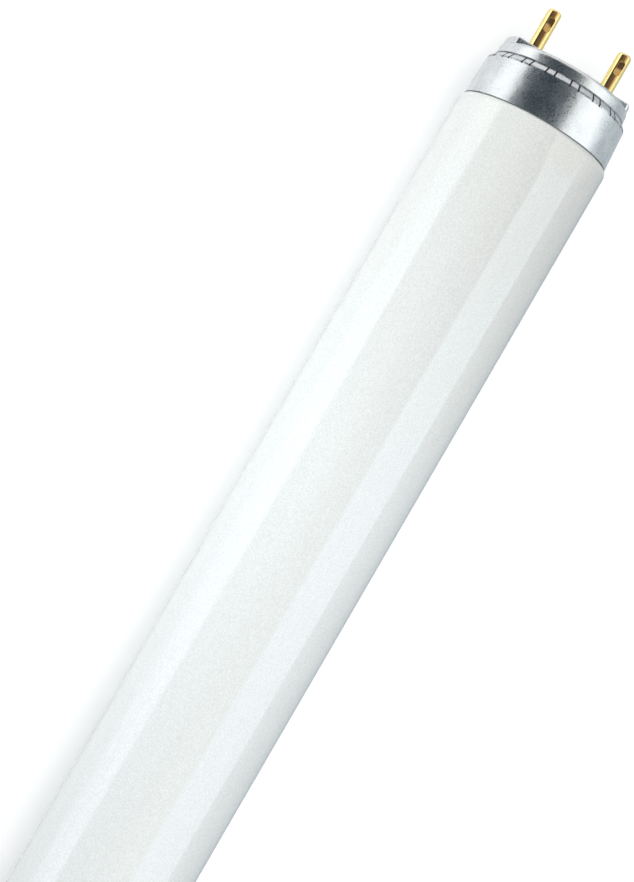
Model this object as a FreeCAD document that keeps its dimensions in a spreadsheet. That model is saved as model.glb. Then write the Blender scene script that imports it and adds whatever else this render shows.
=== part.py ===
import FreeCAD, Part
import math
import os
import Sketcher

# Straight fluorescent tube with a two-pin cap at each end, in millimetres.
# X runs along the tube from its middle, Y across the pins, Z up. Each end piece is drawn in a frame of its own,
# with Z out of the cap and its origin at the middle of the cap face, and is then set at its end of the tube.

doc = FreeCAD.newDocument("fluorescent_tube")
sizes = doc.addObject("Spreadsheet::Sheet", "Sizes")

SIZES = {
    "face_to_face": 589.8,  # between the two cap faces
    # glass
    "glass_diameter": 25.5,
    "glass_wall": 0.6,
    "neck_drop": 1.3,  # how far the neck lies below the glass surface
    "bend_radius": 1.1,  # both bends of the shoulder between tube and neck
    "bend_setback": 1.2,  # from the start of the shoulder to the skirt's edge
    "glass_rim_gap": 1.05,  # from the glass rim up to the cap's shoulder
    "glass_rim_radius": 0.9,
    "rim_fuse_depth": 0.6,  # solid glass behind the rim, where stem and tube are melted together
    "stem_bore": 9.2,
    "stem_wall": 0.8,
    "stem_depth": 14.5,  # from the glass rim down to the press
    "flare_length": 8.0,
    "press_length": 8.0,
    "exhaust_tip_diameter": 3.4,
    "exhaust_tip_length": 6.0,
    # pressed aluminium cap
    "cap_height": 10.3,
    "cap_wall": 0.35,
    "skirt_inset": 0.45,  # how far the skirt's edge lies below the glass surface
    "skirt_length": 6.4,
    "skirt_draw_in": 0.4,  # how much narrower the skirt is at its shoulder, in radius
    "shoulder_step": 0.75,  # how far the shoulder steps in from the skirt to the collar
    "shoulder_height": 0.9,
    "shoulder_edge_radius": 0.2,
    "collar_draw_in": 0.1,
    "collar_edge_radius": 0.8,
    "bar_height": 0.95,
    "bar_width": 8.8,
    "bar_inset": 0.25,  # from the collar's top edge in to the ends of the bar
    "bar_corner_radius": 0.5,
    "bar_edge_radius": 0.3,
    "window_width": 5.0,
    "stake_count": 18,  # pairs of marks round the shoulder
    "stake_spread": 7.0,  # degrees between the two marks of a pair
    "stake_width": 0.22,
    "stake_drop": 0.3,  # how far a mark lies below the shoulder, along the cap
    "stake_overcut": 0.05,
    # insulating plate
    "plate_thickness": 1.6,
    "plate_clearance": 0.05,
    "boss_recess": 0.05,  # from the cap face down to the plate's boss
    # contact pins
    "pin_spacing": 12.7,
    "pin_diameter": 2.35,
    "pin_length": 7.1,
    "pin_tip_radius": 0.55,
    "pin_end_wall": 1.1,
    "pin_bore": 1.0,
    "pin_root_diameter": 3.4,
    "pin_root_clearance": 0.02,
    "flange_diameter": 4.6,
    "flange_thickness": 0.5,
    "crimp_height": 4.57,  # from the cap face up to the middle of the crimp
    "crimp_length": 2.14,  # of its flat floor
    "crimp_width": 0.85,
    "crimp_corner_radius": 0.3,
    "crimp_depth": 0.34,
    "crimp_slope": 25.0,  # degrees by which its walls lean outwards
    "crimp_overcut": 0.05,
    # cement and lead wires
    "cement_recess": 0.15,
    "wire_diameter": 0.6,
    "wire_spread": 5.8,  # between the two wires where they leave the press
    "wire_rise": 4.0,
    "wire_bend_radius": 3.0,
    "wire_bend_drop": 3.0,  # from the pin's flange down to the upper bend
    "wire_reach": 5.2,  # above the cap face, inside the pin
}
for row, (alias, size) in enumerate(SIZES.items(), start=1):
    sizes.set(f"A{row}", alias.replace("_", " "))
    sizes.set(f"B{row}", str(size))
    sizes.setAlias(f"B{row}", alias)
doc.recompute()

# Radii and heights that several pieces share. Heights are measured from the cap face, outwards.
GLASS_R = "(Sizes.glass_diameter / 2)"
NECK_R = f"({GLASS_R} - Sizes.neck_drop)"
SKIRT_R = f"({GLASS_R} - Sizes.skirt_inset)"
SKIRT_BORE_R = f"({SKIRT_R} - Sizes.cap_wall)"
SKIRT_TOP_R = f"({SKIRT_R} - Sizes.skirt_draw_in)"
COLLAR_R = f"({SKIRT_TOP_R} - Sizes.shoulder_step)"
COLLAR_TOP_R = f"({COLLAR_R} - Sizes.collar_draw_in)"
COLLAR_BORE_R = f"({COLLAR_TOP_R} - Sizes.cap_wall)"
COLLAR_INNER_EDGE = "(Sizes.collar_edge_radius - Sizes.cap_wall)"
BAR_END_R = f"({COLLAR_TOP_R} - Sizes.bar_inset)"
PIN_R = "(Sizes.pin_diameter / 2)"
ROOT_R = "(Sizes.pin_root_diameter / 2)"

SKIRT_EDGE_Z = "(-Sizes.cap_height)"
SHOULDER_Z = "(Sizes.skirt_length - Sizes.cap_height)"
STEP_Z = f"({SHOULDER_Z} + Sizes.shoulder_height)"
END_WALL_Z = "(-Sizes.bar_height)"
PLATE_TOP_Z = f"({END_WALL_Z} - Sizes.cap_wall)"
PLATE_BOTTOM_Z = f"({PLATE_TOP_Z} - Sizes.plate_thickness)"
FLANGE_Z = f"({PLATE_BOTTOM_Z} - Sizes.flange_thickness)"
BOSS_Z = "(-Sizes.boss_recess)"
BEND_HALF = "sqrt(Sizes.bend_radius * Sizes.neck_drop - Sizes.neck_drop ^ 2 / 4)"
BEND_START_Z = f"({SKIRT_EDGE_Z} - Sizes.bend_setback)"
BEND_END_Z = f"({BEND_START_Z} + 2 * {BEND_HALF})"
GLASS_RIM_Z = f"({SHOULDER_Z} - Sizes.glass_rim_gap)"
RIM_SHOULDER_Z = f"({GLASS_RIM_Z} - Sizes.glass_rim_radius)"
PRESS_Z = f"({GLASS_RIM_Z} - Sizes.stem_depth)"

FULL_TURN = 360
QUARTER_TURN = 90
SAME_PLACE = 1e-6  # two places nearer than this are one
LEFT_TURN = 1
RIGHT_TURN = -1
START_INDEX = 1
END_INDEX = 2
CENTRE_INDEX = 3
ORIGIN_INDEX = -1
X_AXIS_INDEX = -1
Y_AXIS_INDEX = -2


def value(expression):
    return float(sizes.evalExpression(expression))


def origin_feature(body, role):
    return next(feature for feature in body.Origin.OriginFeatures if feature.Role == role)


def new_body(label):
    body = doc.addObject("PartDesign::Body", label)
    body.Label = label
    return body


def new_sketch(body, name, plane, height=None):
    sketch = body.newObject("Sketcher::SketchObject", name)
    sketch.AttachmentSupport = (origin_feature(body, plane), [""])
    sketch.MapMode = "FlatFace"
    if height:
        sketch.setExpression("AttachmentOffset.Base.z", height)
    return sketch


def pin_point(sketch, edge, point, x, y):
    """Hold a point of an edge at the place that two expressions give."""
    for kind, axis, place in (("DistanceX", Y_AXIS_INDEX, x), ("DistanceY", X_AXIS_INDEX, y)):
        if place == "0":
            sketch.addConstraint(Sketcher.Constraint("PointOnObject", edge, point, axis))
            continue
        index = sketch.addConstraint(
            Sketcher.Constraint(kind, ORIGIN_INDEX, START_INDEX, edge, point, value(place))
        )
        sketch.setExpression(f"Constraints[{index}]", place)


def arc_between(start, end, radius, turn):
    chord = end - start
    rise = math.sqrt(max(radius**2 - chord.Length**2 / 4, 0))
    across = FreeCAD.Vector(-chord.y, chord.x, 0).normalize()
    centre = (start + end) / 2 + across * rise * turn
    first, last = (start, end) if turn == LEFT_TURN else (end, start)
    angles = [math.atan2(point.y - centre.y, point.x - centre.x) for point in (first, last)]
    return Part.ArcOfCircle(Part.Circle(centre, FreeCAD.Vector(0, 0, 1), radius), *angles)


def draw_path(sketch, steps, closed=True):
    """Draw lines and arcs from step to step. A step is (x, y), or (x, y, radius, turn) where an arc starts."""
    corners = [FreeCAD.Vector(value(step[0]), value(step[1]), 0) for step in steps]
    edge_count = len(steps) if closed else len(steps) - 1
    ends = []
    for number in range(edge_count):
        start, end = corners[number], corners[(number + 1) % len(steps)]
        step = steps[number]
        if len(step) == 2:
            edge = sketch.addGeometry(Part.LineSegment(start, end), False)
            ends.append((edge, START_INDEX, END_INDEX))
            continue
        radius, turn = step[2], step[3]
        edge = sketch.addGeometry(arc_between(start, end, value(radius), turn), False)
        index = sketch.addConstraint(Sketcher.Constraint("Radius", edge, value(radius)))
        sketch.setExpression(f"Constraints[{index}]", radius)
        both = (START_INDEX, END_INDEX) if turn == LEFT_TURN else (END_INDEX, START_INDEX)
        ends.append((edge, *both))
    for number, (edge, start, _) in enumerate(ends):
        if closed or number > 0:
            before, _, before_end = ends[number - 1]
            sketch.addConstraint(Sketcher.Constraint("Coincident", before, before_end, edge, start))
        pin_point(sketch, edge, start, steps[number][0], steps[number][1])
    if not closed:
        last_edge, _, last_end = ends[-1]
        pin_point(sketch, last_edge, last_end, steps[-1][0], steps[-1][1])


def draw_circle(sketch, x, y, radius):
    centre = FreeCAD.Vector(value(x), value(y), 0)
    edge = sketch.addGeometry(Part.Circle(centre, FreeCAD.Vector(0, 0, 1), value(radius)), False)
    index = sketch.addConstraint(Sketcher.Constraint("Radius", edge, value(radius)))
    sketch.setExpression(f"Constraints[{index}]", radius)
    pin_point(sketch, edge, CENTRE_INDEX, x, y)


def revolve(body, sketch, axis, name, kind="PartDesign::Revolution"):
    feature = body.newObject(kind, name)
    feature.Profile = sketch
    feature.ReferenceAxis = (sketch, [axis])
    feature.Angle = FULL_TURN
    return feature


def extrude(body, sketch, length, name, kind, reverse=False):
    feature = body.newObject(kind, name)
    feature.Profile = sketch
    feature.Reversed = reverse
    feature.setExpression("Length", length)
    return feature


def round_edges(body, base, edges, radius, name):
    fillet = body.newObject("PartDesign::Fillet", name)
    fillet.Base = (base, edges)
    fillet.setExpression("Radius", radius)
    return fillet


def edge_names(shape, wanted):
    return [f"Edge{number}" for number, edge in enumerate(shape.Edges, start=1) if wanted(edge)]


def lies_at(edge, height):
    return all(abs(vertex.Z - height) < SAME_PLACE for vertex in edge.Vertexes)


def set_at_end(body, end, side=0):
    """Turn a piece to point out of its end of the tube and move it there, and to its side of the cap."""
    outwards = FreeCAD.Rotation(FreeCAD.Vector(0, 1, 0), QUARTER_TURN * end)
    body.Placement = FreeCAD.Placement(FreeCAD.Vector(0, 0, 0), outwards)
    body.setExpression("Placement.Base.x", f"{end} * Sizes.face_to_face / 2")
    if side:
        body.setExpression("Placement.Base.y", f"{side} * Sizes.pin_spacing / 2")


def bar_outline(sketch, inset):
    """Outline of the raised bar: straight sides, rounded corners, and ends that follow the round of the collar."""
    half = f"(Sizes.bar_width / 2 - {inset})"
    end_r = f"({BAR_END_R} - {inset})"
    corner = f"(Sizes.bar_corner_radius - {inset})"
    corner_x = f"({half} - {corner})"
    corner_y = f"sqrt(({end_r} - {corner}) ^ 2 - {corner_x} ^ 2)"
    spread = f"({end_r} / ({end_r} - {corner}))"
    end_x = f"({corner_x} * {spread})"
    end_y = f"({corner_y} * {spread})"
    draw_path(
        sketch,
        [
            (half, f"-{corner_y}"),
            (half, corner_y, corner, LEFT_TURN),
            (end_x, end_y, end_r, LEFT_TURN),
            (f"-{end_x}", end_y, corner, LEFT_TURN),
            (f"-{half}", corner_y),
            (f"-{half}", f"-{corner_y}", corner, LEFT_TURN),
            (f"-{end_x}", f"-{end_y}", end_r, LEFT_TURN),
            (end_x, f"-{end_y}", corner, LEFT_TURN),
        ],
    )


def window_outline(sketch, inset):
    """Oblong round the two pins, with an end centred on each."""
    end_r = f"(Sizes.window_width / 2 - {inset})"
    half = "(Sizes.pin_spacing / 2)"
    draw_path(
        sketch,
        [
            (end_r, f"-{half}"),
            (end_r, half, end_r, LEFT_TURN),
            ("0", f"{half} + {end_r}", end_r, LEFT_TURN),
            (f"-{end_r}", half),
            (f"-{end_r}", f"-{half}", end_r, LEFT_TURN),
            ("0", f"-{half} - {end_r}", end_r, LEFT_TURN),
        ],
    )


def crimp_outline(sketch):
    """Floor of a crimp: an upright oblong with rounded corners."""
    corner = "Sizes.crimp_corner_radius"
    side = "(Sizes.crimp_width / 2)"
    inner = f"({side} - {corner})"
    top = "(Sizes.crimp_height + Sizes.crimp_length / 2)"
    bottom = "(Sizes.crimp_height - Sizes.crimp_length / 2)"
    draw_path(
        sketch,
        [
            (side, f"{bottom} + {corner}"),
            (side, f"{top} - {corner}", corner, LEFT_TURN),
            (inner, top),
            (f"-{inner}", top, corner, LEFT_TURN),
            (f"-{side}", f"{top} - {corner}"),
            (f"-{side}", f"{bottom} + {corner}", corner, LEFT_TURN),
            (f"-{inner}", bottom),
            (inner, bottom, corner, LEFT_TURN),
        ],
    )


def glass_tube():
    """Blown tube with a neck at each end, closed by a re-entrant stem that ends in a press and an exhaust tip."""
    body = new_body("glass_tube")
    mouth_r = f"({NECK_R} - 2 * Sizes.glass_rim_radius)"
    stem_r = "(Sizes.stem_bore / 2)"
    tip_r = "(Sizes.exhaust_tip_diameter / 2)"

    def along(height):
        return f"Sizes.face_to_face / 2 + {height}"

    flare_end = along(f"{RIM_SHOULDER_Z} - Sizes.flare_length")
    bend_middle = along(f"{BEND_START_Z} + {BEND_HALF}")
    tip_end = f"{PRESS_Z} + Sizes.exhaust_tip_length"
    outside = new_sketch(body, "glass_outside", "XZ_Plane")
    draw_path(
        outside,
        [
            ("0", "0"),
            ("0", GLASS_R),
            (along(BEND_START_Z), GLASS_R, "Sizes.bend_radius", RIGHT_TURN),
            (bend_middle, f"{GLASS_R} - Sizes.neck_drop / 2", "Sizes.bend_radius", LEFT_TURN),
            (along(BEND_END_Z), NECK_R),
            (along(RIM_SHOULDER_Z), NECK_R, "Sizes.glass_rim_radius", RIGHT_TURN),
            (along(GLASS_RIM_Z), f"{NECK_R} - Sizes.glass_rim_radius", "Sizes.glass_rim_radius", RIGHT_TURN),
            (along(RIM_SHOULDER_Z), mouth_r),
            (flare_end, stem_r),
            (along(PRESS_Z), stem_r),
            (along(PRESS_Z), tip_r),
            (along(f"{tip_end} - {tip_r}"), tip_r, tip_r, RIGHT_TURN),
            (along(tip_end), "0"),
        ],
    )
    blown = revolve(body, outside, "H_Axis", "blown_outside")

    inner_bend = "(Sizes.bend_radius - Sizes.glass_wall)"
    outer_bend = "(Sizes.bend_radius + Sizes.glass_wall)"
    bend_sine = f"({BEND_HALF} / Sizes.bend_radius)"
    bend_cosine = "(1 - Sizes.neck_drop / (2 * Sizes.bend_radius))"
    inner_middle = along(f"{BEND_START_Z} + {inner_bend} * {bend_sine}")
    inner_middle_r = f"{GLASS_R} - Sizes.bend_radius + {inner_bend} * {bend_cosine}"
    wedge = along(f"{RIM_SHOULDER_Z} - Sizes.rim_fuse_depth")
    press_end = along(f"{PRESS_Z} - Sizes.press_length")
    inside = new_sketch(body, "glass_inside", "XZ_Plane")
    draw_path(
        inside,
        [
            ("0", "0"),
            ("0", f"{GLASS_R} - Sizes.glass_wall"),
            (along(BEND_START_Z), f"{GLASS_R} - Sizes.glass_wall", inner_bend, RIGHT_TURN),
            (inner_middle, inner_middle_r, outer_bend, LEFT_TURN),
            (along(BEND_END_Z), f"{NECK_R} - Sizes.glass_wall"),
            (wedge, f"{NECK_R} - Sizes.glass_wall"),
            (wedge, f"{mouth_r} + Sizes.stem_wall"),
            (flare_end, f"{stem_r} + Sizes.stem_wall"),
            (press_end, f"{stem_r} + Sizes.stem_wall"),
            (press_end, "0"),
        ],
    )
    hollow = revolve(body, inside, "H_Axis", "blown_inside", "PartDesign::Groove")
    both_ends = body.newObject("PartDesign::Mirrored", "both_ends")
    both_ends.Originals = [blown, hollow]
    both_ends.MirrorPlane = (origin_feature(body, "YZ_Plane"), [""])
    body.Tip = both_ends
    return body


def skirt_bore(height):
    """Inner radius of the tapered skirt at a height."""
    share = f"(({height}) - {SKIRT_EDGE_Z}) / Sizes.skirt_length"
    return f"({SKIRT_BORE_R} - Sizes.skirt_draw_in * {share})"


def cap(label, end):
    """Aluminium cap pressed from sheet: skirt, conical shoulder, collar and end wall with a raised bar."""
    body = new_body(label)
    shell = new_sketch(body, f"{label}_shell", "XZ_Plane")
    slant = "sqrt(Sizes.shoulder_step ^ 2 + Sizes.shoulder_height ^ 2)"
    inner_drop = f"Sizes.cap_wall * ({slant} - Sizes.shoulder_height) / Sizes.shoulder_step"
    inner_shoulder_z = f"{SHOULDER_Z} - {inner_drop}"
    collar_top_z = f"{END_WALL_Z} - Sizes.collar_edge_radius"
    draw_path(
        shell,
        [
            (SKIRT_R, SKIRT_EDGE_Z),
            (SKIRT_TOP_R, SHOULDER_Z),
            (COLLAR_R, STEP_Z),
            (COLLAR_TOP_R, collar_top_z, "Sizes.collar_edge_radius", LEFT_TURN),
            (f"{COLLAR_TOP_R} - Sizes.collar_edge_radius", END_WALL_Z),
            ("0", END_WALL_Z),
            ("0", PLATE_TOP_Z),
            (f"{COLLAR_TOP_R} - Sizes.collar_edge_radius", PLATE_TOP_Z, COLLAR_INNER_EDGE, RIGHT_TURN),
            (COLLAR_BORE_R, collar_top_z),
            (f"{COLLAR_R} - Sizes.cap_wall", f"{STEP_Z} - {inner_drop}"),
            (skirt_bore(inner_shoulder_z), inner_shoulder_z),
            (SKIRT_BORE_R, SKIRT_EDGE_Z),
        ],
    )
    drawn = revolve(body, shell, "V_Axis", f"{label}_drawn_shell")
    doc.recompute()
    shoulder_z = value(SHOULDER_Z)
    shoulder = edge_names(drawn.Shape, lambda edge: lies_at(edge, shoulder_z))
    round_edges(body, drawn, shoulder, "Sizes.shoulder_edge_radius", f"{label}_shoulder_edge")

    bar = new_sketch(body, f"{label}_bar", "XY_Plane")
    bar_outline(bar, "0")
    bar_depth = "Sizes.bar_height + Sizes.cap_wall"
    raised = extrude(body, bar, bar_depth, f"{label}_raised_bar", "PartDesign::Pad", reverse=True)
    doc.recompute()
    top = edge_names(raised.Shape, lambda edge: lies_at(edge, 0))
    round_edges(body, raised, top, "Sizes.bar_edge_radius", f"{label}_bar_edge")

    hollow = new_sketch(body, f"{label}_bar_hollow", "XY_Plane", "-Sizes.cap_wall")
    bar_outline(hollow, "Sizes.cap_wall")
    extrude(body, hollow, bar_depth, f"{label}_bar_inside", "PartDesign::Pocket")
    window = new_sketch(body, f"{label}_window", "XY_Plane")
    window_outline(window, "0")
    extrude(body, window, "Sizes.bar_height", f"{label}_pin_window", "PartDesign::Pocket")

    marks = [stake_mark(body, label, side) for side in (-1, 1)]
    pattern = body.newObject("PartDesign::PolarPattern", f"{label}_stake_marks")
    pattern.Originals = marks
    pattern.Axis = (origin_feature(body, "Z_Axis"), [""])
    pattern.Angle = FULL_TURN
    pattern.setExpression("Occurrences", "Sizes.stake_count")
    body.Tip = pattern
    set_at_end(body, end)
    return body


def stake_mark(body, label, side):
    """One mark of a pair: a straight nick down the cone of the shoulder."""
    outer = f"({SKIRT_TOP_R} + Sizes.stake_overcut)"
    run_out = "(Sizes.stake_overcut * Sizes.shoulder_height / Sizes.shoulder_step)"
    name = f"{label}_stake_{'first' if side < 0 else 'second'}"
    sketch = new_sketch(body, name, "XZ_Plane")
    half_spread = value("Sizes.stake_spread / 2")
    sketch.AttachmentOffset = FreeCAD.Placement(
        FreeCAD.Vector(0, 0, 0), FreeCAD.Rotation(FreeCAD.Vector(0, side, 0), half_spread)
    )
    sketch.setExpression("AttachmentOffset.Rotation.Angle", "Sizes.stake_spread / 2")
    draw_path(
        sketch,
        [
            (COLLAR_R, f"{STEP_Z} - Sizes.stake_drop"),
            (outer, f"{SHOULDER_Z} - Sizes.stake_drop - {run_out}"),
            (outer, STEP_Z),
            (COLLAR_R, STEP_Z),
        ],
    )
    mark = extrude(body, sketch, "Sizes.stake_width", f"{name}_mark", "PartDesign::Pocket")
    mark.SideType = "Symmetric"
    return mark


def insulating_plate(label, end):
    """Moulded disc that fills the collar and the bar, with a boss in the bar's window and a hole for each pin."""
    body = new_body(label)
    rim_r = f"({COLLAR_BORE_R} - Sizes.plate_clearance)"
    disc = new_sketch(body, f"{label}_disc", "XZ_Plane")
    draw_path(
        disc,
        [
            ("0", PLATE_BOTTOM_Z),
            (rim_r, PLATE_BOTTOM_Z),
            (rim_r, f"{PLATE_TOP_Z} - {COLLAR_INNER_EDGE}"),
            (f"{rim_r} - {COLLAR_INNER_EDGE}", PLATE_TOP_Z),
            ("0", PLATE_TOP_Z),
        ],
    )
    revolve(body, disc, "V_Axis", f"{label}_moulded_disc")
    block = new_sketch(body, f"{label}_block", "XY_Plane", PLATE_TOP_Z)
    bar_outline(block, "(Sizes.cap_wall + Sizes.plate_clearance)")
    block_height = "Sizes.bar_height - Sizes.plate_clearance"
    extrude(body, block, block_height, f"{label}_bar_block", "PartDesign::Pad")
    boss = new_sketch(body, f"{label}_boss", "XY_Plane", BOSS_Z)
    window_outline(boss, "Sizes.plate_clearance")
    boss_height = "Sizes.cap_wall + Sizes.plate_clearance - Sizes.boss_recess"
    extrude(body, boss, boss_height, f"{label}_window_boss", "PartDesign::Pad", reverse=True)
    holes = new_sketch(body, f"{label}_holes", "XY_Plane", BOSS_Z)
    for side in ("", "-"):
        draw_circle(holes, "0", f"{side}Sizes.pin_spacing / 2", f"{ROOT_R} + Sizes.pin_root_clearance")
    hole_depth = f"{BOSS_Z} - {PLATE_BOTTOM_Z}"
    extrude(body, holes, hole_depth, f"{label}_pin_holes", "PartDesign::Pocket")
    set_at_end(body, end)
    return body


def contact_pin(label, end, side):
    """Hollow brass pin: flange under the plate, root through it, and a shank with a crimp on both flanks."""
    body = new_body(label)
    bore_r = "(Sizes.pin_bore / 2)"
    flange_r = "Sizes.flange_diameter / 2"
    bore_end = "Sizes.pin_length - Sizes.pin_end_wall"
    turned = new_sketch(body, f"{label}_profile", "XZ_Plane")
    draw_path(
        turned,
        [
            (bore_r, FLANGE_Z),
            (flange_r, FLANGE_Z),
            (flange_r, PLATE_BOTTOM_Z),
            (ROOT_R, PLATE_BOTTOM_Z),
            (ROOT_R, BOSS_Z),
            (PIN_R, BOSS_Z),
            (PIN_R, "Sizes.pin_length - Sizes.pin_tip_radius", "Sizes.pin_tip_radius", LEFT_TURN),
            (f"{PIN_R} - Sizes.pin_tip_radius", "Sizes.pin_length"),
            ("0", "Sizes.pin_length"),
            ("0", bore_end),
            (bore_r, bore_end),
        ],
    )
    revolve(body, turned, "V_Axis", f"{label}_drawn_pin")
    for flank, name in ((-1, "lower"), (1, "upper")):
        floor = f"{flank} * ({PIN_R} - Sizes.crimp_depth)"
        punch = new_sketch(body, f"{label}_{name}_punch", "YZ_Plane", floor)
        crimp_outline(punch)
        depth = "Sizes.crimp_depth + Sizes.crimp_overcut"
        crimp = extrude(body, punch, depth, f"{label}_{name}_crimp", "PartDesign::Pocket", flank > 0)
        crimp.setExpression("TaperAngle", "Sizes.crimp_slope")
    set_at_end(body, end, side)
    return body


def cement_ring(label, end):
    """Ring of basing cement between the skirt and the glass neck."""
    body = new_body(label)
    section = new_sketch(body, f"{label}_section", "XZ_Plane")
    low = f"{BEND_END_Z} + Sizes.cement_recess"
    high = f"{RIM_SHOULDER_Z} - Sizes.cement_recess"
    draw_path(section, [(NECK_R, low), (skirt_bore(low), low), (skirt_bore(high), high), (NECK_R, high)])
    revolve(body, section, "V_Axis", f"{label}_ring")
    set_at_end(body, end)
    return body


def lead_wire(label, end, side):
    """Wire that leaves the press, bends out to its pin and runs up the pin's bore."""
    body = new_body(label)
    foot_y = f"({side} * Sizes.wire_spread / 2)"
    pin_y = f"({side} * Sizes.pin_spacing / 2)"
    low_z = f"({PRESS_Z} + Sizes.wire_rise)"
    high_z = f"({FLANGE_Z} - Sizes.wire_bend_drop)"
    rise = f"({high_z} - {low_z})"
    spread = "(Sizes.pin_spacing / 2 - Sizes.wire_spread / 2)"
    slant = f"sqrt({rise} ^ 2 + {spread} ^ 2)"
    tangent = f"(Sizes.wire_bend_radius * {spread} / ({slant} + {rise}))"
    step_y = f"({side} * {tangent} * {spread} / {slant})"
    step_z = f"({tangent} * {rise} / {slant})"
    bend = "Sizes.wire_bend_radius"
    outward = RIGHT_TURN if side > 0 else LEFT_TURN
    route = new_sketch(body, f"{label}_route", "YZ_Plane")
    draw_path(
        route,
        [
            (foot_y, PRESS_Z),
            (foot_y, f"{low_z} - {tangent}", bend, outward),
            (f"{foot_y} + {step_y}", f"{low_z} + {step_z}"),
            (f"{pin_y} - {step_y}", f"{high_z} - {step_z}", bend, -outward),
            (pin_y, f"{high_z} + {tangent}"),
            (pin_y, "Sizes.wire_reach"),
        ],
        closed=False,
    )
    section = new_sketch(body, f"{label}_section", "XY_Plane", PRESS_Z)
    draw_circle(section, "0", foot_y, "Sizes.wire_diameter / 2")
    wire = body.newObject("PartDesign::AdditivePipe", f"{label}_wire")
    wire.Profile = section
    wire.Spine = route
    set_at_end(body, end)
    return body


pieces = [glass_tube()]
for end, end_name in ((-1, "left"), (1, "right")):
    pieces.append(cap(f"{end_name}_cap", end))
    pieces.append(insulating_plate(f"{end_name}_insulating_plate", end))
    pieces.append(cement_ring(f"{end_name}_cement_ring", end))
    for side, side_name in ((-1, "front"), (1, "rear")):
        pieces.append(contact_pin(f"{end_name}_{side_name}_pin", end, side))
        pieces.append(lead_wire(f"{end_name}_{side_name}_lead_wire", end, side))
doc.recompute()

for item in doc.Objects:
    if {"Invalid", "Error"} & set(item.State):
        raise RuntimeError(f"{item.Label} failed: {item.State}")
for piece in pieces:
    if piece.Shape.isNull() or not piece.Shape.isValid() or len(piece.Shape.Solids) != 1:
        raise RuntimeError(f"{piece.Label} is not one valid solid")

os.makedirs("parts", exist_ok=True)
for piece in pieces:
    piece.Shape.exportStep(os.path.join("parts", f"{piece.Label}.step"))
    print(f"{piece.Label}: {piece.Shape.Volume:.2f} mm3")
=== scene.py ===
import math

import bmesh
import bpy
from mathutils import Matrix, Vector


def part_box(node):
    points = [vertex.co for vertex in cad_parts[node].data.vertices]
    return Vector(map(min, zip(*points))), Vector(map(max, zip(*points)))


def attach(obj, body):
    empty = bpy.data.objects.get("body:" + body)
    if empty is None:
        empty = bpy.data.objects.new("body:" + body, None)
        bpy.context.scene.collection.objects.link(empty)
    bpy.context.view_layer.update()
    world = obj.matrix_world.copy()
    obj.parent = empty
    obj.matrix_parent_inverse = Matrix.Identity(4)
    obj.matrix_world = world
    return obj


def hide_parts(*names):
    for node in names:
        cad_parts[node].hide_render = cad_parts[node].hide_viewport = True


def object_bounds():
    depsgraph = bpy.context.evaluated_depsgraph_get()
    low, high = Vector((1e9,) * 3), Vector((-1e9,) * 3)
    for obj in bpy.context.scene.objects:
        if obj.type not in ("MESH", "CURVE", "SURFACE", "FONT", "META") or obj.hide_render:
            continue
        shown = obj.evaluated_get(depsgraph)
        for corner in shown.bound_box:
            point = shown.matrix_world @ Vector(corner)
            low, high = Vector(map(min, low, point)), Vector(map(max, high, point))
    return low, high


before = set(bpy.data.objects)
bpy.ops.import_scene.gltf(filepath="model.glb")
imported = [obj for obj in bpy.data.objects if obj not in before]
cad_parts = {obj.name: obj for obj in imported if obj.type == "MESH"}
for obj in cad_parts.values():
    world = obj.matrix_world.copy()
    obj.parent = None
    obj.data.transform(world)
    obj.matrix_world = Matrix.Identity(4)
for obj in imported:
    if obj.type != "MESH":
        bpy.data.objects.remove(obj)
cad_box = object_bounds()

# Glass tube: one long soda-lime tube, necked in at both ends and closed by a re-entrant stem with a press
# and an exhaust tip. A white powder coating behind the glass makes it opaque. Half of the tube is turned
# here from its section, and the other half is the same one turned round.
MM = 0.001
glass_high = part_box("glass_tube")[1]
GLASS_R = glass_high.z
GLASS_END = glass_high.x
SKIRT_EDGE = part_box("right_cap")[0].x
GLASS_WALL = 0.6 * MM
NECK_DROP = 1.3 * MM
NECK_R = GLASS_R - NECK_DROP
BEND_R = 1.1 * MM
# the bend sits a little nearer to the skirt than the solid's, for the light in the seam
BEND_SETBACK = 1.12 * MM
RIM_R = 0.9 * MM
RIM_FUSE_DEPTH = 0.6 * MM
STEM_R = 4.6 * MM
STEM_WALL = 0.8 * MM
STEM_DEPTH = 14.5 * MM
FLARE_LENGTH = 8.0 * MM
PRESS = GLASS_END - STEM_DEPTH
PRESS_LENGTH = 8.0 * MM
TIP_R = 1.7 * MM
TIP_LENGTH = 6.0 * MM
BARREL_RINGS = 24
GLASS_SEGMENTS = 160
ARC_STEPS = 12
WELD = 0.001 * MM
POWDER_WHITE = (0.902, 0.927, 0.919, 1.0)
POWDER_SHADE = (0.784, 0.805, 0.797, 1.0)
POWDER_END_SHADE = (0.858, 0.840, 0.816, 1.0)
# painted shade: towards the ends, from here on, the powder is coloured darker and warmer, standing in for
# the light that falls off towards the caps
END_SHADE_FROM = 215.0 * MM
POWDER_GRAIN_SCALE = 4200.0
POWDER_CLOUD_SCALE = 160.0
GLASS_WAVE_SCALE = 90.0
GLASS_WAVE_DEPTH = 0.4 * MM
# a pattern's scale along and across the tube, which draws it out along the tube
GLASS_DRAW = (0.05, 1.0, 1.0)
GLASS_IOR = 1.68


def arc(centre, radius, start, end):
    """Points of an arc in a section, (along, out), with angles in degrees from the along direction."""
    angles = [math.radians(start + (end - start) * step / ARC_STEPS) for step in range(ARC_STEPS + 1)]
    return [(centre[0] + radius * math.cos(a), centre[1] + radius * math.sin(a)) for a in angles]


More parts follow.
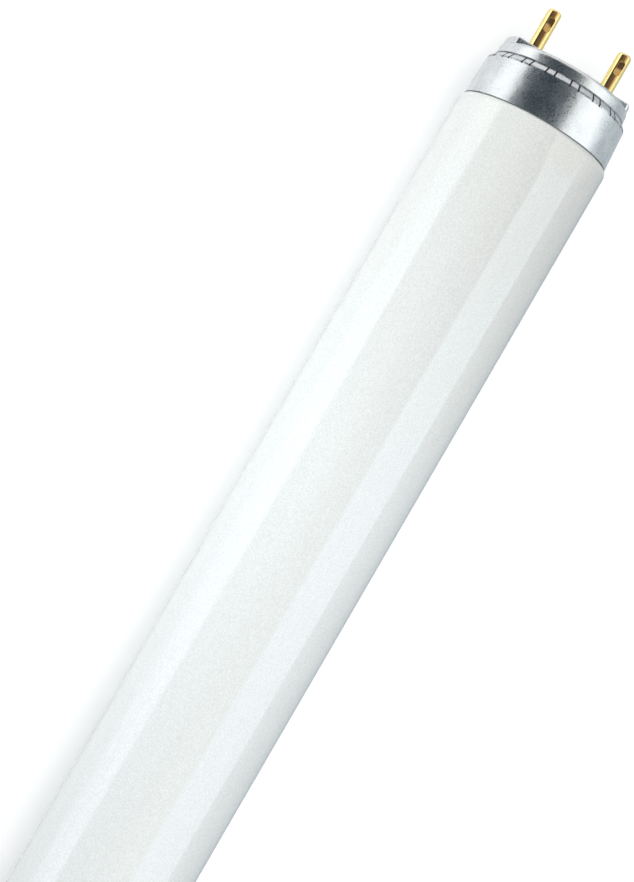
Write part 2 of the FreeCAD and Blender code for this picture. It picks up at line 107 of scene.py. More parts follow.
def glass_sections():
    """Half of the glass from its middle to the stem's end, as an outer and an inner line."""
    bend_angle = math.acos(1 - NECK_DROP / (2 * BEND_R))
    bend_start = SKIRT_EDGE - BEND_SETBACK
    bend_end = bend_start + 2 * BEND_R * math.sin(bend_angle)
    bend_turn = math.degrees(bend_angle)
    upper_centre = (bend_start, GLASS_R - BEND_R)
    lower_centre = (bend_end, NECK_R + BEND_R)
    rim_shoulder = GLASS_END - RIM_R
    flare_end = rim_shoulder - FLARE_LENGTH

    outside = [(bend_start * ring / BARREL_RINGS, GLASS_R) for ring in range(BARREL_RINGS)]
    bore = [(along, GLASS_R - GLASS_WALL) for along, _ in outside]
    outside += arc(upper_centre, BEND_R, 90, 90 - bend_turn)
    outside += arc(lower_centre, BEND_R, 270 - bend_turn, 270)[1:]
    outside += arc((rim_shoulder, NECK_R - RIM_R), RIM_R, 90, -90)
    outside += [(flare_end, STEM_R), (PRESS, STEM_R), (PRESS, TIP_R)]
    outside += arc((PRESS + TIP_LENGTH - TIP_R, 0), TIP_R, 90, 0)

    fused = rim_shoulder - RIM_FUSE_DEPTH
    mouth_r = NECK_R - 2 * RIM_R
    stem_outer_r = STEM_R + STEM_WALL
    press_foot = PRESS - PRESS_LENGTH
    bore += arc(upper_centre, BEND_R - GLASS_WALL, 90, 90 - bend_turn)
    bore += arc(lower_centre, BEND_R + GLASS_WALL, 270 - bend_turn, 270)[1:]
    bore += [(fused, NECK_R - GLASS_WALL), (fused, mouth_r + STEM_WALL), (flare_end, stem_outer_r)]
    bore += [(press_foot, stem_outer_r), (press_foot, 0)]
    return outside, bore


class Tree:
    """A node tree built call by call: add() takes a node's type, its settings and then its sockets."""

    def __init__(self, tree):
        self.tree = tree

    def add(self, kind, settings=None, **sockets):
        node = self.tree.nodes.new(kind)
        for name, setting in (settings or {}).items():
            if name == "stops":
                set_stops(node.color_ramp, setting)
            else:
                setattr(node, name, setting)
        for name, value in sockets.items():
            self.feed(find_socket(node.inputs, name), value)
        return node

    def feed(self, socket, value):
        """Link a socket to a wire, a node or another socket, or set its value."""
        source = value.socket if isinstance(value, Wire) else value
        if isinstance(source, bpy.types.Node):
            source = find_socket(source.outputs)
        if isinstance(source, bpy.types.NodeSocket):
            self.tree.links.new(source, socket)
        else:
            socket.default_value = source

    def wire(self, kind, settings=None, output=None, **sockets):
        """The same, but gives one output of the new node, ready for sums."""
        return Wire(self, find_socket(self.add(kind, settings, **sockets).outputs, output))


def find_socket(sockets, name=None):
    """The first socket in use, or the one of that name, with _ for a space, or at_2 for the third one."""
    used = [socket for socket in sockets if socket.enabled]
    if name is None:
        return used[0]
    if name.startswith("at_"):
        return used[int(name[3:])]
    return next(socket for socket in used if socket.name == name.replace("_", " "))


def set_stops(ramp, stops):
    """Give a colour ramp its stops, each a place and a colour."""
    while len(ramp.elements) < len(stops):
        ramp.elements.new(1.0)
    for element, (place, colour) in zip(ramp.elements, stops):
        element.position = place
        element.color = colour


class Wire:
    """A socket that is used in sums. Each operator adds a Math node."""

    def __init__(self, tree, socket):
        self.tree = tree
        self.socket = socket

    def math(self, operation, *others):
        """A Math node that starts from this wire."""
        places = {f"at_{place}": value for place, value in enumerate((self, *others))}
        return self.tree.wire("ShaderNodeMath", {"operation": operation}, **places)

    def reflected(self, operation, first):
        """A Math node that starts from a number and ends with this wire."""
        return self.tree.wire("ShaderNodeMath", {"operation": operation}, at_0=first, at_1=self)

    def __add__(self, other):
        return self.math("ADD", other)

    def __sub__(self, other):
        return self.math("SUBTRACT", other)

    def __mul__(self, other):
        return self.math("MULTIPLY", other)

    def __truediv__(self, other):
        return self.math("DIVIDE", other)

    def __radd__(self, other):
        return self.reflected("ADD", other)

    def __rsub__(self, other):
        return self.reflected("SUBTRACT", other)

    def __rmul__(self, other):
        return self.reflected("MULTIPLY", other)

    def __rtruediv__(self, other):
        return self.reflected("DIVIDE", other)


def turning_tree():
    """Nodes that turn a section into a half body of revolution round X and set a second one against it."""
    group = bpy.data.node_groups.new("turned_from_section", "GeometryNodeTree")
    sockets = group.interface
    sockets.new_socket("Section", in_out="INPUT", socket_type="NodeSocketGeometry")
    sockets.new_socket("Segments", in_out="INPUT", socket_type="NodeSocketInt")
    sockets.new_socket("Weld", in_out="INPUT", socket_type="NodeSocketFloat")
    sockets.new_socket("Finish", in_out="INPUT", socket_type="NodeSocketMaterial")
    sockets.new_socket("Turned", in_out="OUTPUT", socket_type="NodeSocketGeometry")
    tree = Tree(group)
    given = tree.add("NodeGroupInput")
    segments = Wire(tree, given.outputs["Segments"])
    count = tree.wire("GeometryNodeAttributeDomainSize", Geometry=given.outputs["Section"])
    columns = segments + 1
    grid = tree.add("GeometryNodeMeshGrid", Vertices_X=count, Vertices_Y=columns)
    index = tree.wire("GeometryNodeInputIndex")
    row = (index / columns).math("FLOOR")
    column = index.math("MODULO", columns)
    place = tree.wire(
        "GeometryNodeSampleIndex",
        {"data_type": "FLOAT_VECTOR"},
        Geometry=given.outputs["Section"],
        Value=tree.add("GeometryNodeInputPosition"),
        Index=row,
    )
    angle = column * (2 * math.pi) / segments
    turned = tree.wire("ShaderNodeVectorRotate", {"rotation_type": "X_AXIS"}, Vector=place, Angle=angle)
    half = tree.add("GeometryNodeSetPosition", Geometry=find_socket(grid.outputs, "Mesh"), Position=turned)
    welded = tree.add("GeometryNodeMergeByDistance", Geometry=half, Distance=given.outputs["Weld"])
    ends = tree.add("GeometryNodeMeshLine", Count=2, Offset=(0.0, 0.0, 0.0))
    facing = tree.wire("ShaderNodeCombineXYZ", Z=tree.wire("GeometryNodeInputIndex") * math.pi)
    both = tree.add("GeometryNodeInstanceOnPoints", Points=ends, Instance=welded, Rotation=facing)
    whole = tree.add("GeometryNodeRealizeInstances", Geometry=both)
    closed = tree.add("GeometryNodeMergeByDistance", Geometry=whole, Distance=given.outputs["Weld"])
    smooth = tree.add("GeometryNodeSetShadeSmooth", Geometry=closed)
    finished = tree.add("GeometryNodeSetMaterial", Geometry=smooth, Material=given.outputs["Finish"])
    tree.add("NodeGroupOutput", Turned=finished)
    return group


def plain_mesh(piece):
    """The mesh that a piece's modifiers give, with the modifiers removed."""
    bpy.context.view_layer.update()
    evaluated = piece.evaluated_get(bpy.context.evaluated_depsgraph_get())
    mesh = bpy.data.meshes.new_from_object(evaluated)
    piece.modifiers.clear()
    return mesh


def turn(section, segments, finish, inside=False):
    """Mesh of a section turned round X at both ends. Its faces point outwards, or inwards round a hollow."""
    corners = [(along, 0, out) for along, out in section]
    line = bpy.data.meshes.new("section")
    line.from_pydata(corners, [(i, i + 1) for i in range(len(corners) - 1)], [])
    piece = bpy.data.objects.new("section", line)
    bpy.context.scene.collection.objects.link(piece)
    modifier = piece.modifiers.new("turned", "NODES")
    modifier.node_group = turned_from_section
    inputs = {"Segments": segments, "Weld": WELD, "Finish": finish}
    for item in turned_from_section.interface.items_tree:
        if item.in_out == "INPUT" and item.name in inputs:
            modifier[item.identifier] = inputs[item.name]
    mesh = plain_mesh(piece)
    bpy.data.objects.remove(piece)
    skin = bmesh.new()
    skin.from_mesh(mesh)
    bmesh.ops.recalc_face_normals(skin, faces=skin.faces)
    if inside:
        bmesh.ops.reverse_faces(skin, faces=skin.faces)
    skin.to_mesh(mesh)
    skin.free()
    return mesh


def new_finish(name):
    """An empty material and its node tree."""
    material = bpy.data.materials.new(name)
    material.use_nodes = True
    material.node_tree.nodes.clear()
    return material, Tree(material.node_tree)


def noise(place, scale, detail, roughness=0.5):
    """Cloudy pattern, with so many cells to the metre."""
    return place.tree.wire(
        "ShaderNodeTexNoise", Vector=place, Scale=scale, Detail=detail, Roughness=roughness
    )


def two_tone(mottle, *stops):
    """Colour that follows a mottle from one stop to the next."""
    return mottle.tree.wire("ShaderNodeValToRGB", {"stops": stops}, output="Color", Fac=mottle)


def blend(share, start, end, mode="MIX"):
    """Colour that goes over from one to another."""
    settings = {"data_type": "RGBA", "blend_type": mode}
    return share.tree.wire("ShaderNodeMix", settings, output="Result", Factor=share, A=start, B=end)


def coated_glass():
    """Clear glass over white powder: fine grain and faint clouds under a slightly wavy gloss, with painted
    shade towards the ends.
    """
    material, tree = new_finish("coated_glass")
    place = tree.wire("ShaderNodeTexCoord", output="Object")
    drawn = tree.wire("ShaderNodeMapping", Vector=place, Scale=GLASS_DRAW)
    grain = noise(place, POWDER_GRAIN_SCALE, 1.0, roughness=0.6)
    clouds = noise(drawn, POWDER_CLOUD_SCALE, 3.0)
    waves = noise(drawn, GLASS_WAVE_SCALE, 1.0)
    even = two_tone(grain * 0.80 + clouds * 0.20, (0.36, POWDER_SHADE), (0.64, POWDER_WHITE))
    along = tree.wire("ShaderNodeSeparateXYZ", output="X", Vector=place).math("ABSOLUTE")
    # painted shade: the powder is multiplied darker and warmer towards the ends of the tube, where less
    # light falls
    end_shade = tree.wire(
        "ShaderNodeMapRange",
        {"interpolation_type": "SMOOTHSTEP"},
        Value=along,
        From_Min=END_SHADE_FROM,
        From_Max=GLASS_END,
        To_Min=0.0,
        To_Max=1.0,
    )
    shader = tree.add(
        "ShaderNodeBsdfPrincipled",
        Base_Color=blend(end_shade, even, POWDER_END_SHADE, mode="MULTIPLY"),
        Roughness=0.05 + clouds * 0.05,
        Normal=tree.wire("ShaderNodeBump", Strength=0.04, Distance=GLASS_WAVE_DEPTH, Height=waves),
        IOR=GLASS_IOR,
    )
    tree.add("ShaderNodeOutputMaterial", Surface=shader)
    return material


turned_from_section = turning_tree()
outside, bore = glass_sections()
glass_finish = coated_glass()
glass_mesh = bmesh.new()
glass_mesh.from_mesh(turn(outside, GLASS_SEGMENTS, glass_finish))
glass_mesh.from_mesh(turn(bore, GLASS_SEGMENTS, glass_finish, inside=True))
tube_mesh = bpy.data.meshes.new("coated_tube")
glass_mesh.to_mesh(tube_mesh)
glass_mesh.free()
tube_mesh.materials.append(glass_finish)
coated_tube = bpy.data.objects.new("coated_tube", tube_mesh)
bpy.context.scene.collection.objects.link(coated_tube)
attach(coated_tube, "root")
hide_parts("glass_tube")

# Caps: thin aluminium sheet, drawn to a skirt, shoulder, collar and end wall, with a raised bar round the
# pins. They are cemented over the necks of the glass, and pairs of stake marks are struck round each
# shoulder.
ALUMINIUM = (0.76, 0.77, 0.775, 1.0)
ALUMINIUM_DULL = (0.56, 0.585, 0.61, 1.0)
# dark colour of the painted shade laid into the stake marks, the crease and the skirt's top edge
SHADE_DARK_COLOUR = (0.035, 0.040, 0.045, 1.0)
SKIRT_LENGTH = 6.4 * MM
SHOULDER_HEIGHT = 0.9 * MM
SHOULDER = SKIRT_EDGE + SKIRT_LENGTH
CREASE = SHOULDER + SHOULDER_HEIGHT
STAKE_PAIRS = 18
STAKE_PITCH = 2 * math.pi / STAKE_PAIRS
STAKE_APART = math.radians(7.0)
STAKE_HALF = math.radians(0.68)
STAKE_DROP = 0.3 * MM
STAKE_OVERCUT = 0.05 * MM
# painted shade lines: fully dark within the core, and fading out by these distances from the crease and from
# the skirt's top edge
SHADE_CORE = 0.08 * MM
CREASE_SHADE = 0.26 * MM
EDGE_SHADE = 0.22 * MM
EDGE_BACK = 0.10 * MM
SHEET_GRAIN_SCALE = 4200.0
SHEET_BLOTCH_SCALE = 420.0
SHEET_DENT_SCALE = 520.0
SHEET_GRAIN_DEPTH = 0.03 * MM
SHEET_DENT_DEPTH = 0.08 * MM


def ramp_down(value, full, none):
    """1 up to one value, falling to 0 at the other."""
    return value.tree.wire(
        "ShaderNodeMapRange", Value=value, From_Min=full, From_Max=none, To_Min=1.0, To_Max=0.0
    )


def satin_aluminium():
    """Bare pressed sheet: satin, with fine grain and shallow dents, and painted shade: dark colour in the
    stake marks, in the crease and along the skirt's top edge.
    """
    material, tree = new_finish("satin_aluminium")
    place = tree.wire("ShaderNodeTexCoord", output="Object")
    grain = noise(place, SHEET_GRAIN_SCALE, 1.0, roughness=0.6)
    blotches = noise(place, SHEET_BLOTCH_SCALE, 3.0)
    waves = noise(place, SHEET_DENT_SCALE, 1.0)
    clean = two_tone(grain * 0.5 + blotches * 0.5, (0.32, ALUMINIUM_DULL), (0.62, ALUMINIUM))
    x, y, z = (tree.wire("ShaderNodeSeparateXYZ", output=axis, Vector=place) for axis in "XYZ")
    along = x.math("ABSOLUTE")
    pitches = (y.math("ARCTAN2", z) / STAKE_PITCH).math("FLOORED_MODULO", 1.0)
    aside = ((pitches - 0.5).math("ABSOLUTE") - (0.5 - STAKE_APART / STAKE_PITCH / 2)).math("ABSOLUTE")
    struck = ramp_down(aside, 0.8 * STAKE_HALF / STAKE_PITCH, 1.2 * STAKE_HALF / STAKE_PITCH)
    above_drop = along.math("GREATER_THAN", SHOULDER - STAKE_DROP)
    below_crease = along.math("LESS_THAN", CREASE + STAKE_OVERCUT)
    # painted shade: the stake marks are coloured dark, as shade in their hollows
    stakes = struck * (above_drop * below_crease) * 0.9
    patchy = 1.0 - ramp_down(blotches * 0.6 + grain * 0.4, 0.44, 0.54)
    from_crease = (along - CREASE).math("ABSOLUTE")
    from_edge = (along - (SHOULDER - EDGE_BACK)).math("ABSOLUTE")
    # painted shade: dark lines in patches along the crease at the collar's foot and along the skirt's top
    # edge, below the shoulder
    crease = ramp_down(from_crease, SHADE_CORE, CREASE_SHADE) * (0.46 + patchy * 0.40)
    edge = ramp_down(from_edge, SHADE_CORE, EDGE_SHADE) * patchy * 0.7
    painted_shade = stakes.math("MAXIMUM", crease).math("MAXIMUM", edge)
    dents = tree.wire("ShaderNodeBump", Strength=0.5, Distance=SHEET_DENT_DEPTH, Height=waves)
    shader = tree.add(
        "ShaderNodeBsdfPrincipled",
        Base_Color=blend(painted_shade, clean, SHADE_DARK_COLOUR),
        Metallic=1.0,
        Roughness=0.12 + grain * 0.22 + blotches * 0.14 + painted_shade * 0.3,
        Normal=tree.wire(
            "ShaderNodeBump", Strength=0.6, Distance=SHEET_GRAIN_DEPTH, Height=grain, Normal=dents
        ),
    )
    tree.add("ShaderNodeOutputMaterial", Surface=shader)
    return material


def dress(names, finish):
    """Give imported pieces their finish."""
    for name in names:
        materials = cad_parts[name].data.materials
        materials.clear()
        materials.append(finish)


dress(["left_cap", "right_cap"], satin_aluminium())

# Insulating plates: moulded phenolic discs that fill the collar and bar and hold the two pins apart.
# The pins pass through them, and only the boss in the bar's window shows, from the end.
PHENOLIC = (0.21, 0.135, 0.085, 1.0)
PHENOLIC_DARK = (0.12, 0.075, 0.045, 1.0)
FILLER_FLECK_SCALE = 3500.0
FILLER_CLOUD_SCALE = 500.0
FILLER_FLECK_DEPTH = 0.02 * MM


def moulded_phenolic():
    """Brown moulding powder: flecks of filler and a dull moulded skin."""
    material, tree = new_finish("moulded_phenolic")
    place = tree.wire("ShaderNodeTexCoord", output="Object")
    flecks = noise(place, FILLER_FLECK_SCALE, 2.0)
    clouds = noise(place, FILLER_CLOUD_SCALE, 2.0)
    shader = tree.add(
        "ShaderNodeBsdfPrincipled",
        Base_Color=two_tone(flecks * 0.6 + clouds * 0.4, (0.38, PHENOLIC_DARK), (0.66, PHENOLIC)),
        Roughness=0.42 + clouds * 0.2,
        Normal=tree.wire("ShaderNodeBump", Strength=0.3, Distance=FILLER_FLECK_DEPTH, Height=flecks),
    )
    tree.add("ShaderNodeOutputMaterial", Surface=shader)
    return material


dress(["left_insulating_plate", "right_insulating_plate"], moulded_phenolic())

# Contact pins: drawn brass tubes, closed and rounded at the tip, with a flange under the plate.
# Each is crimped on both flanks onto the lead wire inside it.
BRASS = (0.98, 0.81, 0.37, 1.0)
BRASS_DEEP = (0.94, 0.70, 0.26, 1.0)
TARNISH = (0.24, 0.085, 0.012, 1.0)
# colours of the painted light and shade in the crimps: tan for the lit half, dark brown for the shaded half
CRIMP_PAINTED_LIGHT = (0.78, 0.46, 0.15, 1.0)
CRIMP_PAINTED_SHADE = (0.11, 0.036, 0.008, 1.0)
CAP_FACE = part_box("right_cap")[1].x
pin_low, pin_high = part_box("right_rear_pin")
PIN_ASIDE = (pin_low.y + pin_high.y) / 2
PIN_R = 1.175 * MM
CRIMP_HEIGHT = 4.57 * MM
CRIMP_MIDDLE = CAP_FACE + CRIMP_HEIGHT
CRIMP_HALF = 1.07 * MM
SUNK_R = 0.93 * PIN_R
# where the brown film along the top and bottom of each pin starts, and where it is full
FILM_BAND_HEIGHT = 0.90 * PIN_R
FILM_EDGE_R = 0.98 * PIN_R
LIT_HALF_END = -0.25 * MM
SHADED_HALF_START = 0.15 * MM
SHADE_LINE_WANDER = 1.2 * MM
BRASS_DRAW = (0.06, 1.0, 1.0)
BRASS_LINE_SCALE = 6000.0
BRASS_LINE_DEPTH = 0.01 * MM
TARNISH_SCALE = 900.0


def drawn_brass():
    """Bright brass with drawing lines and patches of brown tarnish, a brown film along the top and bottom of
    each pin, and painted light and shade in the crimps.
    """
    material, tree = new_finish("drawn_brass")
    place = tree.wire("ShaderNodeTexCoord", output="Object")
    drawn = tree.wire("ShaderNodeMapping", Vector=place, Scale=BRASS_DRAW)
    lines = noise(drawn, BRASS_LINE_SCALE, 2.0)
    tarnish = noise(place, TARNISH_SCALE, 3.0)
    x, y, z = (tree.wire("ShaderNodeSeparateXYZ", output=axis, Vector=place) for axis in "XYZ")
    aside = y.math("ABSOLUTE") - PIN_ASIDE
    sunk = ramp_down((aside * aside + z * z).math("SQRT"), SUNK_R, FILM_EDGE_R)
    from_middle = x.math("ABSOLUTE") - CRIMP_MIDDLE
    crimped = sunk * from_middle.math("ABSOLUTE").math("LESS_THAN", CRIMP_HALF)
    # painted light and shade in each crimp: tan in the half nearer the cap, dark brown in the half towards
    # the tip, with a wandering line between
    lit_half = ramp_down(from_middle + (tarnish - 0.5) * SHADE_LINE_WANDER, LIT_HALF_END, SHADED_HALF_START)
    crimp_light_and_shade = blend(lit_half, CRIMP_PAINTED_SHADE, CRIMP_PAINTED_LIGHT)
    bump = tree.wire("ShaderNodeBump", Strength=0.2, Distance=BRASS_LINE_DEPTH, Height=lines)
    metal = tree.add(
        "ShaderNodeBsdfPrincipled",
        Base_Color=two_tone(tarnish, (0.30, BRASS_DEEP), (0.55, BRASS)),
        Metallic=1.0,
        Roughness=0.08 + lines * 0.10,
        Normal=bump,
    )
    film = tree.add(
        "ShaderNodeBsdfPrincipled", Base_Color=blend(crimped, TARNISH, crimp_light_and_shade), Roughness=0.45, Normal=bump
    )
    # a brown film along the top and the bottom of each pin
    top_and_bottom_film = 1.0 - ramp_down(z.math("ABSOLUTE"), FILM_BAND_HEIGHT, FILM_EDGE_R)
    share = 0.02 + tarnish * 0.10 + top_and_bottom_film.math("MAXIMUM", crimped) * 0.62
    both = tree.add("ShaderNodeMixShader", at_0=share, at_1=metal, at_2=film)
    tree.add("ShaderNodeOutputMaterial", Surface=both)
    return material


dress([f"{end}_{side}_pin" for end in ("left", "right") for side in ("front", "rear")], drawn_brass())

# Cement rings: basing cement in the room between skirt and neck, which holds the cap on the glass.
# It is a tan paste of resin and stone powder, spread inside the skirt and baked hard.
CEMENT = (0.60, 0.55, 0.47, 1.0)
CEMENT_DARK = (0.44, 0.39, 0.32, 1.0)
SAND_SCALE = 1800.0
SAND_DEPTH = 0.08 * MM


def basing_cement():
    """Baked cement: sandy grain over a matte tan."""
    material, tree = new_finish("basing_cement")
    place = tree.wire("ShaderNodeTexCoord", output="Object")
    sand = noise(place, SAND_SCALE, 4.0, roughness=0.7)
    shader = tree.add(
        "ShaderNodeBsdfPrincipled",
        Base_Color=two_tone(sand, (0.35, CEMENT_DARK), (0.65, CEMENT)),
        Roughness=0.8 + sand * 0.15,
        Normal=tree.wire("ShaderNodeBump", Strength=0.6, Distance=SAND_DEPTH, Height=sand),
    )
    tree.add("ShaderNodeOutputMaterial", Surface=shader)
    return material


dress(["left_cement_ring", "right_cement_ring"], basing_cement())

# Lead wires: drawn wire with a nickel skin, two at each end.
# Each is sealed in the press of the stem and runs up into the bore of its pin, which is crimped onto it.
NICKEL = (0.66, 0.65, 0.62, 1.0)
NICKEL_DULL = (0.50, 0.48, 0.45, 1.0)
NICKEL_DRAW = (0.1, 1.0, 1.0)
NICKEL_STREAK_SCALE = 5000.0


def drawn_nickel():
    """Drawn wire: dull silver with fine streaks."""
    material, tree = new_finish("drawn_nickel")
    place = tree.wire("ShaderNodeTexCoord", output="Object")
    drawn = tree.wire("ShaderNodeMapping", Vector=place, Scale=NICKEL_DRAW)
    streaks = noise(drawn, NICKEL_STREAK_SCALE, 2.0)
    shader = tree.add(
        "ShaderNodeBsdfPrincipled",
        Base_Color=two_tone(streaks, (0.35, NICKEL_DULL), (0.6, NICKEL)),
        Metallic=1.0,
        Roughness=0.3 + streaks * 0.15,
    )
    tree.add("ShaderNodeOutputMaterial", Surface=shader)
    return material


dress([f"{end}_{side}_lead_wire" for end in ("left", "right") for side in ("front", "rear")], drawn_nickel())

# Floor and surround: a pale matte floor, which the tube lies on and which takes its shadow, and a surround
# that is seen and mirrored as plain white. The surround lights the tube with a weaker, slightly cool fill.
FLOOR_SIZE = 12.0
SQUARE = ((-1, -1), (1, -1), (1, 1), (-1, 1))
FLOOR_PALE = (0.80, 0.80, 0.80, 1.0)
FLOOR_LIFT_SEEN = 0.30
FLOOR_LIFT_MIRRORED = 0.14
SURROUND_FILL = 0.60
FILL_TINT = (0.975, 1.0, 1.02, 1.0)
WHITE = (1.0, 1.0, 1.0, 1.0)


def floor_finish():
    """Pale matte floor that takes the shadow, lifted towards white where it is seen or mirrored."""
    material, tree = new_finish("pale_floor")
    path = tree.add("ShaderNodeLightPath")
    seen = Wire(tree, path.outputs["Is Camera Ray"]).math("MAXIMUM", path.outputs["Is Transmission Ray"])
    mirrored = Wire(tree, path.outputs["Is Glossy Ray"])
    matte = tree.add("ShaderNodeBsdfDiffuse", Color=FLOOR_PALE)
    strength = seen * FLOOR_LIFT_SEEN + mirrored * FLOOR_LIFT_MIRRORED
    lift = tree.add("ShaderNodeEmission", Color=WHITE, Strength=strength)
    tree.add("ShaderNodeOutputMaterial", Surface=tree.add("ShaderNodeAddShader", at_0=matte, at_1=lift))
    return material


def panel(name, corners, faces, finish):
    """Sheet that belongs to the studio and not to the tube."""
    mesh = bpy.data.meshes.new(name)
    mesh.from_pydata(corners, [], faces)
    mesh.materials.append(finish)
    piece = bpy.data.objects.new(name, mesh)
    bpy.context.scene.collection.objects.link(piece)
    return piece


floor_level = cad_box[0].z
floor_corners = [(x * FLOOR_SIZE / 2, y * FLOOR_SIZE / 2, floor_level) for x, y in SQUARE]
panel("floor", floor_corners, [(0, 1, 2, 3)], floor_finish())

world = bpy.data.worlds.new("studio")
bpy.context.scene.world = world
world.use_nodes = True
world.node_tree.nodes.clear()
sky = Tree(world.node_tree)
path = sky.add("ShaderNodeLightPath")
seen = Wire(sky, path.outputs["Is Camera Ray"])
for kind in ("Is Glossy Ray", "Is Transmission Ray"):
    seen = seen.math("MAXIMUM", path.outputs[kind])
seen_white = sky.add("ShaderNodeBackground", Color=WHITE, Strength=1.0)
fill = sky.add("ShaderNodeBackground", Color=FILL_TINT, Strength=SURROUND_FILL)
surround = sky.add("ShaderNodeMixShader", at_0=seen, at_1=fill, at_2=seen_white)
sky.add("ShaderNodeOutputWorld", Surface=surround)

# Reflected cards: white strips, dark and graded cards and grey flags, which only reflections show. They
# stand on one round about the tube or lie on the floor. Glass and cap mirror light very differently, so
# each has cards of its own, and the two sets meet where the seam between glass and cap is mirrored.
CARD_REACH = 1.0
CARD_DISTANCE = 0.60
CARD_STEPS = 24
CARD_LIFT = 0.3 * MM
# how far the mirrored seam moves along the tube for each metre away from the glass
SEAM_SLANT = 0.197
SHEET_START = 95.0 * MM
FLAG_START = 13.0 * MM
# the stretch along the tube over which the graded card's front tone fades out
FADE_START = 0.0
FADE_END = 0.38
OVERHEAD_TONE = (0.054, 0.074, 0.086, 1.0)
GRADED_TONE = (0.95, 0.98, 0.97, 1.0)
REAR_TONE = (1.38, 1.55, 1.76, 1.0)
FRONT_TONE = (1.62, 1.90, 2.12, 1.0)
FRONT_FLAG_TONE = (0.44, 0.54, 0.60, 1.0)
FLOOR_FLAG_TONE = (0.32, 0.40, 0.45, 1.0)
CAP_DARK_TONE = (0.042, 0.060, 0.072, 1.0)
CAP_REAR_TONE = (1.63, 1.63, 1.585, 1.0)
CAP_FRONT_TONE = (1.405, 1.40, 1.335, 1.0)
CAP_FRONT_FLAG_TONE = (0.82, 0.865, 0.87, 1.0)
CAP_FLOOR_FLAG_TONE = (0.60, 0.655, 0.67, 1.0)
# where each card starts and ends, in degrees from straight up, towards the rear
REAR_SPAN = (89.0, 66.0)
DARK_SPAN = (66.0, 20.0)
GRADED_SPAN = (20.0, -26.0)
FRONT_SPAN = (-26.0, -77.0)
FRONT_FLAG_SPAN = (-77.0, -89.0)
CAP_DARK_SPAN = (66.0, -21.0)
CAP_FRONT_SPAN = (-21.0, -77.0)


def reflected_card(name, line, tone, over_cap=False, front_tone=None):
    """Long card that only reflections show. Its line is given across the tube, as (y, z) points.

    A second tone, where there is one, comes in towards the card's front edge and fades out towards the cap.
    """
    corners = []
    for y, z in line:
        seam = SKIRT_EDGE + SEAM_SLANT * (math.hypot(y, z) - GLASS_R)
        near, far = (seam, CARD_REACH) if over_cap else (-CARD_REACH, seam)
        corners += [(near, y, z), (far, y, z)]
    finish, tree = new_finish(name)
    if front_tone:
        place = tree.wire("ShaderNodeTexCoord", output="Object")
        x, y = (tree.wire("ShaderNodeSeparateXYZ", output=axis, Vector=place) for axis in "XY")
        share = ramp_down(y, line[-1][0], line[0][0]) * ramp_down(x, FADE_START, FADE_END)
        tone = blend(share, tone, front_tone)
    tree.add("ShaderNodeOutputMaterial", Surface=tree.add("ShaderNodeEmission", Color=tone))
    faces = [(row, row + 1, row + 3, row + 2) for row in range(0, len(corners) - 2, 2)]
    card = panel(name, corners, faces, finish)
    card.visible_camera = False
    card.visible_diffuse = False
    card.visible_shadow = False


def standing(span):
    """Line of a card that stands round the tube between two directions."""
    start, end = (math.radians(angle) for angle in span)
    angles = [start + (end - start) * step / CARD_STEPS for step in range(CARD_STEPS + 1)]
    return [(CARD_DISTANCE * math.sin(angle), CARD_DISTANCE * math.cos(angle)) for angle in angles]


lying = floor_level + CARD_LIFT
rear_sheet = [(SHEET_START, lying), (CARD_DISTANCE, lying)]
floor_flag = [(-CARD_DISTANCE, lying), (-FLAG_START, lying)]
reflected_card("rear_sheet", rear_sheet, REAR_TONE)
reflected_card("rear_strip", standing(REAR_SPAN), REAR_TONE)
reflected_card("dark_card", standing(DARK_SPAN), OVERHEAD_TONE)
reflected_card("graded_card", standing(GRADED_SPAN), OVERHEAD_TONE, front_tone=GRADED_TONE)
reflected_card("front_strip", standing(FRONT_SPAN), FRONT_TONE)
reflected_card("front_flag", standing(FRONT_FLAG_SPAN), FRONT_FLAG_TONE)
reflected_card("floor_flag", floor_flag, FLOOR_FLAG_TONE)
reflected_card("cap_rear_sheet", rear_sheet, CAP_REAR_TONE, over_cap=True)
reflected_card("cap_rear_strip", standing(REAR_SPAN), CAP_REAR_TONE, over_cap=True)
reflected_card("cap_dark_card", standing(CAP_DARK_SPAN), CAP_DARK_TONE, over_cap=True)
reflected_card("cap_front_strip", standing(CAP_FRONT_SPAN), CAP_FRONT_TONE, over_cap=True)
reflected_card("cap_front_flag", standing(FRONT_FLAG_SPAN), CAP_FRONT_FLAG_TONE, over_cap=True)
reflected_card("cap_floor_flag", floor_flag, CAP_FLOOR_FLAG_TONE, over_cap=True)

# Lamps: a broad key lamp overhead and a long, narrow one low at the rear, both aimed at the right-hand end.
# Neither is seen or mirrored, because what the tube mirrors is left to the cards.
KEY_LEAN = -6.0
KEY_DISTANCE = 0.42
KEY_ALONG = 0.23
KEY_SIZE = (0.60, 0.20)
KEY_STRENGTH = 2.3
KEY_TINT = (1.0, 0.995, 0.965)
LOW_LEAN = 75.0
LOW_DISTANCE = 0.25
LOW_ALONG = 0.325
LOW_SIZE = (0.30, 0.04)
LOW_STRENGTH = 1.92
LOW_TINT = (0.95, 1.0, 1.03)
LOW_SPREAD = math.radians(70.0)
tube_axis = Vector((1, 0, 0))


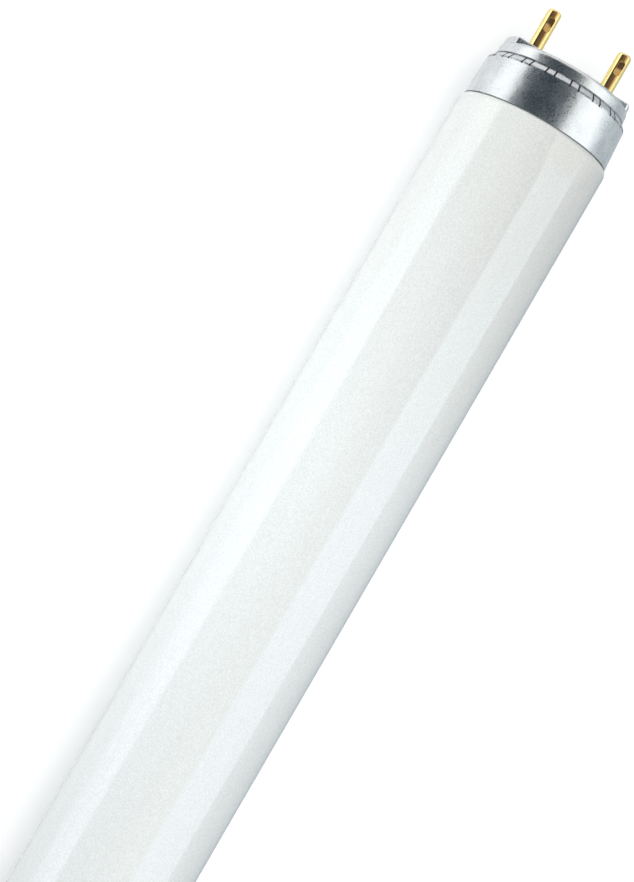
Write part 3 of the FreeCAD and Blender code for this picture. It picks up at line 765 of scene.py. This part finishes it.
def soft_lamp(name, lean, distance, along, size, strength, tint, spread=math.pi):
    """Flat lamp that faces the tube from a direction given in degrees from straight up, towards the rear."""
    lamp = bpy.data.lights.new(name, "AREA")
    lamp.shape = "RECTANGLE"
    lamp.size, lamp.size_y = size
    lamp.energy = strength * math.pi * size[0] * size[1]
    lamp.color = tint
    lamp.spread = spread
    piece = bpy.data.objects.new(name, lamp)
    bpy.context.scene.collection.objects.link(piece)
    away = Vector((0, math.sin(math.radians(lean)), math.cos(math.radians(lean))))
    facing = Matrix((tube_axis, away.cross(tube_axis), away)).transposed().to_4x4()
    piece.matrix_world = Matrix.Translation(tube_axis * along + away * distance) @ facing
    piece.visible_camera = False
    piece.visible_glossy = False


soft_lamp("key_lamp", KEY_LEAN, KEY_DISTANCE, KEY_ALONG, KEY_SIZE, KEY_STRENGTH, KEY_TINT)
soft_lamp("rear_lamp", LOW_LEAN, LOW_DISTANCE, LOW_ALONG, LOW_SIZE, LOW_STRENGTH, LOW_TINT, LOW_SPREAD)

# Camera: above the right-hand end, leaning a little to the rear side.
# It is rolled, so that the tube runs up to the right and leaves the picture at the bottom left.
CAMERA_ALONG = 235.872 * MM
CAMERA_DISTANCE = 256.522 * MM
CAMERA_ASIDE = 5.128 * MM
CAMERA_LEAN = math.radians(8.0)
CAMERA_TILT = math.radians(-1.943)
CAMERA_ROLL = math.radians(29.974)
CAMERA_LENS = 67.98

out = Vector((0, math.sin(CAMERA_LEAN), math.cos(CAMERA_LEAN)))
aside = out.cross(tube_axis)
forward = tube_axis * math.sin(CAMERA_TILT) - out * math.cos(CAMERA_TILT)
lift = tube_axis * math.cos(CAMERA_TILT) + out * math.sin(CAMERA_TILT)
across = forward.cross(lift)
up = lift * math.cos(CAMERA_ROLL) - across * math.sin(CAMERA_ROLL)
right = across * math.cos(CAMERA_ROLL) + lift * math.sin(CAMERA_ROLL)
stand = tube_axis * CAMERA_ALONG + out * CAMERA_DISTANCE + aside * CAMERA_ASIDE
camera_data = bpy.data.cameras.new("camera")
camera_data.lens = CAMERA_LENS
camera = bpy.data.objects.new("camera", camera_data)
bpy.context.scene.collection.objects.link(camera)
camera.matrix_world = Matrix.Translation(stand) @ Matrix((right, up, -forward)).transposed().to_4x4()
bpy.context.scene.camera = camera
bpy.context.scene.view_settings.view_transform = "Standard"
